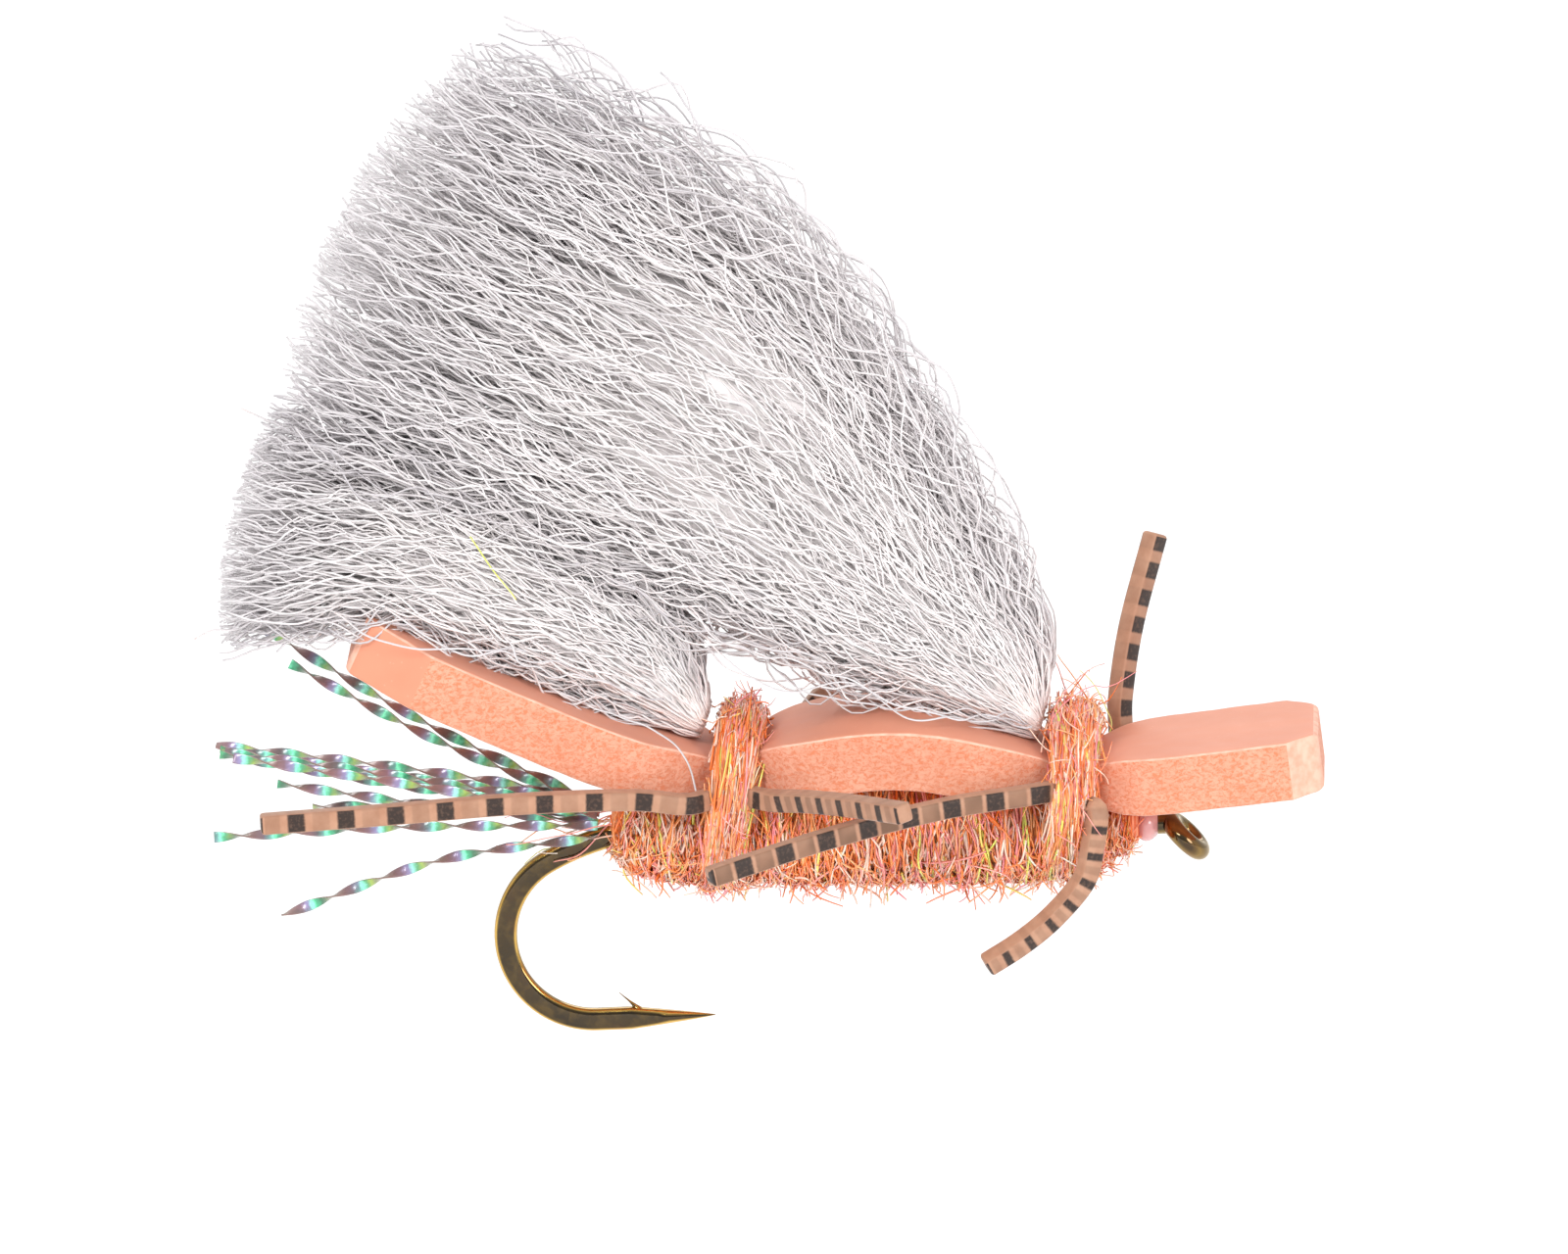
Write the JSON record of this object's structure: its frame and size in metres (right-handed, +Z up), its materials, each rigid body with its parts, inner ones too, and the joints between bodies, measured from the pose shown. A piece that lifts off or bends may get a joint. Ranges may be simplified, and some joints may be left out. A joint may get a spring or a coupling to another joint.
{
  "type": "dry fly",
  "caption": "Foam-bodied dry fly: bronze down-eye hook, dubbed body, tied-down foam strip, white yarn wings, barred rubber legs and a flash tail.",
  "frame": {"origin": "centre of the ring of the hook eye, where the tippet is tied", "axes": "+X along the hook shank towards the eye and the head, +Z up away from the hook point, so the fly's right side is -Y"},
  "size_m": [0.0374, 0.0176, 0.0338],
  "materials": {
    "bronze_wire": "gloss",
    "thread": "satin",
    "dubbing": "satin",
    "foam": "matte",
    "yarn": "satin",
    "rubber_strand": "satin",
    "flash_film": "gloss",
    "cement": "gloss"
  },
  "bodies": {
    "fly": {"hook": "bronze_wire", "shank_thread_base": "thread", "head_thread_wraps": "thread", "rear_thread_band": "thread", "front_thread_band": "thread", "abdomen_dubbing": "dubbing", "rear_collar_dubbing": "dubbing", "front_collar_dubbing": "dubbing", "foam_strip": "foam", "head_cement": "cement", "rear_wing_butt": "yarn", "front_wing_butt": "yarn", "rear_leg_tie_right": "rubber_strand", "rear_leg_tie_left": "rubber_strand", "front_leg_tie_right": "rubber_strand", "front_leg_tie_left": "rubber_strand"},
    "leg_right_rear_back": {"leg_right_rear_back": "rubber_strand"},
    "leg_right_rear_forward": {"leg_right_rear_forward": "rubber_strand"},
    "leg_right_front_back": {"leg_right_front_back": "rubber_strand"},
    "leg_right_front_forward": {"leg_right_front_forward": "rubber_strand"},
    "leg_left_rear_back": {"leg_left_rear_back": "rubber_strand"},
    "leg_left_rear_forward": {"leg_left_rear_forward": "rubber_strand"},
    "leg_left_front_back": {"leg_left_front_back": "rubber_strand"},
    "leg_left_front_forward": {"leg_left_front_forward": "rubber_strand"},
    "tail_flash": {"tail_flash_01": "flash_film", "tail_flash_02": "flash_film", "tail_flash_03": "flash_film", "tail_flash_04": "flash_film", "tail_flash_05": "flash_film", "tail_flash_06": "flash_film", "tail_flash_07": "flash_film", "tail_flash_08": "flash_film", "tail_flash_09": "flash_film", "tail_flash_10": "flash_film", "tail_flash_11": "flash_film"},
    "rear_wing": {"rear_wing": "yarn"},
    "front_wing": {"front_wing": "yarn"}
  },
  "joints": [
    {"name": "leg_right_rear_back_flex", "type": "hinge", "parent": "fly", "child": "leg_right_rear_back", "pos_m": [-0.0168, -0.00325, 0.0021], "axis": [-0.1507, 0.9886, 0], "range_deg": [-25, 25], "stiffness_Nm_per_rad": 0.00001},
    {"name": "leg_right_rear_forward_flex", "type": "hinge", "parent": "fly", "child": "leg_right_rear_forward", "pos_m": [-0.0138, -0.00325, 0.0022], "axis": [-0.7809, -0.6247, 0], "range_deg": [0, 35], "stiffness_Nm_per_rad": 0.00001},
    {"name": "leg_right_front_back_flex", "type": "hinge", "parent": "fly", "child": "leg_right_front_back", "pos_m": [-0.00525, -0.00325, 0.0023], "axis": [-0.4105, 0.9119, 0], "range_deg": [-20, 2], "stiffness_Nm_per_rad": 0.00001},
    {"name": "leg_right_front_forward_flex", "type": "hinge", "parent": "fly", "child": "leg_right_front_forward", "pos_m": [-0.0031, -0.0034, 0.00045], "axis": [0, 1, 0], "range_deg": [-35, 15], "stiffness_Nm_per_rad": 0.00001},
    {"name": "leg_left_rear_back_flex", "type": "hinge", "parent": "fly", "child": "leg_left_rear_back", "pos_m": [-0.0168, 0.00325, 0.0021], "axis": [0.2657, 0.9641, 0], "range_deg": [-25, 20], "stiffness_Nm_per_rad": 0.00001},
    {"name": "leg_left_rear_forward_flex", "type": "hinge", "parent": "fly", "child": "leg_left_rear_forward", "pos_m": [-0.0138, 0.00325, 0.0022], "axis": [0.7034, -0.7108, 0], "range_deg": [-2, 30], "stiffness_Nm_per_rad": 0.00001},
    {"name": "leg_left_front_back_flex", "type": "hinge", "parent": "fly", "child": "leg_left_front_back", "pos_m": [-0.00525, 0.00325, 0.0023], "axis": [0.1794, 0.9838, 0], "range_deg": [-20, 2], "stiffness_Nm_per_rad": 0.00001},
    {"name": "leg_left_front_forward_flex", "type": "hinge", "parent": "fly", "child": "leg_left_front_forward", "pos_m": [-0.00225, 0.00325, 0.0023], "axis": [0, 1, 0], "range_deg": [-25, 25], "stiffness_Nm_per_rad": 0.00001},
    {"name": "tail_flash_flex", "type": "hinge", "parent": "fly", "child": "tail_flash", "pos_m": [-0.0196, 0, 0.001], "axis": [0, 1, 0], "range_deg": [-15, 4], "stiffness_Nm_per_rad": 0.00001},
    {"name": "rear_wing_sway", "type": "hinge", "parent": "fly", "child": "rear_wing", "pos_m": [-0.0164, 0, 0.00385], "axis": [-0.9164, 0, 0.4003], "range_deg": [-20, 20], "stiffness_Nm_per_rad": 0.00002},
    {"name": "front_wing_sway", "type": "hinge", "parent": "fly", "child": "front_wing", "pos_m": [-0.0049, 0, 0.00375], "axis": [-0.9816, 0, 0.1908], "range_deg": [-20, 20], "stiffness_Nm_per_rad": 0.0001}
  ]
}
